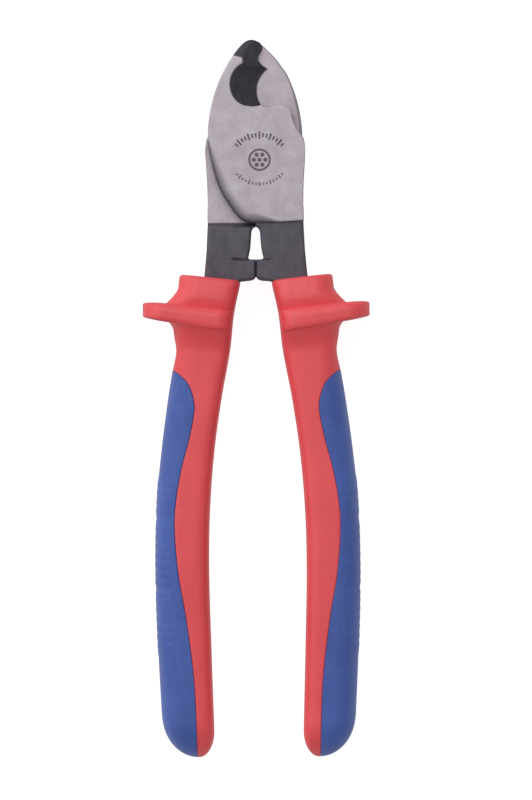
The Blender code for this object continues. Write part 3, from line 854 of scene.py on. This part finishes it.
def steel():
    """Ground faces with an etched mark, black oxide on the rest, darkest on the head, partly as painted
    shade.
    """
    shade = Shade("ground_and_oxide_steel")
    place = shade.place()
    wander = shade.span(shade.noise(place, 2.2, 4.0), -0.1, 0.1)
    ground = shade.add("Attribute", {}, "Fac", attribute_name="ground")
    ground = shade.math("ADD", ground, wander)
    ground = shade.add("MapRange", {"Value": ground, "From Min": 0.05, "From Max": 0.95})
    # Share of darker oxide with painted shade on the head, lug and creases.
    deep_oxide_and_shade = shade.add("Attribute", {}, "Fac", attribute_name="deep_oxide_and_shade")

    streaks = shade.noise(shade.stretch(place, (2.4, 0.3, 1.0)), 1.0, 4.0)
    fine = shade.noise(shade.stretch(place, (9.0, 0.9, 4.0)), 1.0, 2.0)
    clouds = shade.noise(place, 0.2, 4.0)
    speckle = shade.noise(place, 3.5, 3.0)
    tone = shade.math("ADD", shade.math("MULTIPLY", streaks, 0.14), shade.math("MULTIPLY", clouds, 0.42))
    tone = shade.math("ADD", tone, shade.math("MULTIPLY", speckle, 0.38))
    tone = shade.math("ADD", tone, shade.math("MULTIPLY", fine, 0.06))
    light = shade.mix(shade.ramp(shade.noise(place, 0.12, 3.0), 0.4, 0.6), GROUND_VIOLET, GROUND_GREY)
    bright = shade.mix(shade.ramp(tone, 0.32, 0.68), GROUND_DARK, light)

    axes = shade.tree.nodes.new("ShaderNodeSeparateXYZ")
    shade.feed(axes.inputs[0], place)
    x, y, z = axes.outputs
    upper = graduation(shade, x, y, -2.0, 1.0, UPPER_ARC, MARK_LINES)
    lower = graduation(shade, x, y, 2.0, -1.0, LOWER_ARC, MARK_LINES)
    lower = shade.math("MULTIPLY", lower, 0.75)
    etched = shade.math("MAXIMUM", shade.math("MAXIMUM", upper, lower), cable_sign(shade, x, y))
    etched = shade.math("MULTIPLY", etched, shade.ramp(z, CHEEK_TOP - 0.3, CHEEK_TOP - 0.1))
    worn = shade.math("MULTIPLY", etched, shade.span(speckle, 0.45, 1.0))
    bright = shade.mix(worn, bright, ETCHED)

    smut = shade.noise(shade.stretch(place, (0.5, 0.22, 0.5)), 1.0, 4.0)
    patchy = shade.ramp(shade.blend(0.4, smut, speckle), 0.35, 0.65)
    dark = shade.mix(patchy, OXIDE_DARK, OXIDE_LIGHT)
    # Painted shade: near-black oxide colours where that share is high.
    dark = shade.mix(deep_oxide_and_shade, dark, shade.mix(patchy, OXIDE_AND_SHADE_DARK, OXIDE_AND_SHADE_LIGHT))
    shade.feed(shade.shader.inputs["Base Color"], shade.mix(ground, dark, bright))
    shade.feed(shade.shader.inputs["Metallic"], shade.math("MULTIPLY", ground, 0.95))
    ground_rough = shade.math("ADD", shade.span(streaks, 0.42, 0.56), shade.math("MULTIPLY", worn, 0.2))
    oxide_rough = shade.span(speckle, 0.42, 0.62)
    shade.feed(shade.shader.inputs["Roughness"], shade.blend(ground, oxide_rough, ground_rough))
    grain = shade.blend(ground, shade.math("MULTIPLY", speckle, 1.6), shade.blend(0.5, fine, streaks))
    grain = shade.math("SUBTRACT", grain, shade.math("MULTIPLY", worn, 0.8))
    shade.feed(shade.shader.inputs["Normal"], shade.bump(grain, 8.0))
    return shade.material


def plastic(name, dark, light, roughness, pebble, microns):
    """Moulded plastic: clouded colour, uneven gloss, slight sink marks and a fine pebble."""
    shade = Shade(name)
    place = shade.place()
    clouds = shade.noise(place, 0.06, 4.0)
    flecks = shade.noise(place, 1.3, 4.0)
    tone = shade.ramp(shade.blend(0.35, clouds, flecks), 0.3, 0.7)
    shade.feed(shade.shader.inputs["Base Color"], shade.mix(tone, dark, light))
    rubbed = shade.noise(shade.stretch(place, (0.7, 0.16, 0.7)), 1.0, 3.0)
    shade.feed(shade.shader.inputs["Roughness"], shade.span(shade.ramp(rubbed, 0.3, 0.7), *roughness))
    waves = shade.bump(shade.noise(place, 0.22, 1.0), 90.0)
    grain = shade.add("TexVoronoi", {"Vector": place, "Scale": pebble, "Smoothness": 0.6}, "Distance",
                      feature="SMOOTH_F1")
    grain = shade.blend(0.4, grain, shade.noise(place, pebble * 1.7, 2.0))
    shade.feed(shade.shader.inputs["Normal"], shade.bump(grain, microns, waves))
    return shade


def hard_plastic():
    return plastic("red_hard_plastic", RED_DARK, RED_LIGHT, (0.38, 0.52), 3.2, 14.0).material


def soft_plastic():
    shade = plastic("blue_soft_plastic", BLUE_DARK, BLUE_LIGHT, (0.55, 0.72), 2.4, 30.0)
    shade.shader.inputs["Sheen Weight"].default_value = 0.12
    shade.shader.inputs["Sheen Roughness"].default_value = 0.5
    return shade.material


# ---------------------------------------------------------------- stage

def area_light(name, place, size, power):
    """A square soft light that points at the origin."""
    data = bpy.data.lights.new(name, "AREA")
    data.size = size
    data.energy = power
    light = bpy.data.objects.new(name, data)
    bpy.context.collection.objects.link(light)
    light.location = place
    light.rotation_euler = (-Vector(place)).to_track_quat("-Z", "Y").to_euler()


def make_stage():
    """Pale floor, soft overhead light and the camera above the tool."""
    world = bpy.data.worlds.new("studio")
    bpy.context.scene.world = world
    world.use_nodes = True
    world.node_tree.nodes["Background"].inputs["Color"].default_value = WHITE
    world.node_tree.nodes["Background"].inputs["Strength"].default_value = WORLD_STRENGTH
    bm = bmesh.new()
    bmesh.ops.create_grid(bm, x_segments=1, y_segments=1, size=3.0)
    mesh = bpy.data.meshes.new("floor")
    bm.to_mesh(mesh)
    bm.free()
    floor = bpy.data.objects.new("floor", mesh)
    bpy.context.collection.objects.link(floor)
    floor.location.z = cad_box[0][2]
    paint = Shade("floor_paint")
    paint.shader.inputs["Base Color"].default_value = FLOOR_GREY
    paint.shader.inputs["Emission Color"].default_value = WHITE
    paint.shader.inputs["Emission Strength"].default_value = FLOOR_GLOW
    paint.shader.inputs["Roughness"].default_value = 0.8
    floor.data.materials.append(paint.material)
    floor.visible_glossy = False
    area_light("key", KEY_PLACE, KEY_SIZE, KEY_POWER)
    area_light("fill", FILL_PLACE, FILL_SIZE, FILL_POWER)
    data = bpy.data.cameras.new("camera")
    data.lens = LENS
    data.sensor_width = SENSOR
    camera = bpy.data.objects.new("camera", data)
    bpy.context.collection.objects.link(camera)
    camera.location = (*VIEW_MIDDLE, PIVOT.z + VIEW_HEIGHT * LENS / SENSOR)
    camera.rotation_euler = (0.0, 0.0, CAMERA_ROLL)
    bpy.context.scene.camera = camera


make_stage()
bpy.context.scene.view_settings.view_transform = "Standard"
steel_finish = steel()
for piece in (forged_half("front_forging", "front_half", front_outline(), False, "front"),
              forged_half("rear_forging", "rear_half", rear_outline(), True, "root"),
              rivet()):
    piece.data.materials.append(steel_finish)
red_finish = hard_plastic()
blue_finish = soft_plastic()
for side, turned, body in (("right", False, "front"), ("left", True, "root")):
    grip_body(side, turned, body).data.materials.append(red_finish)
    grip_overlay(side, turned, body).data.materials.append(blue_finish)
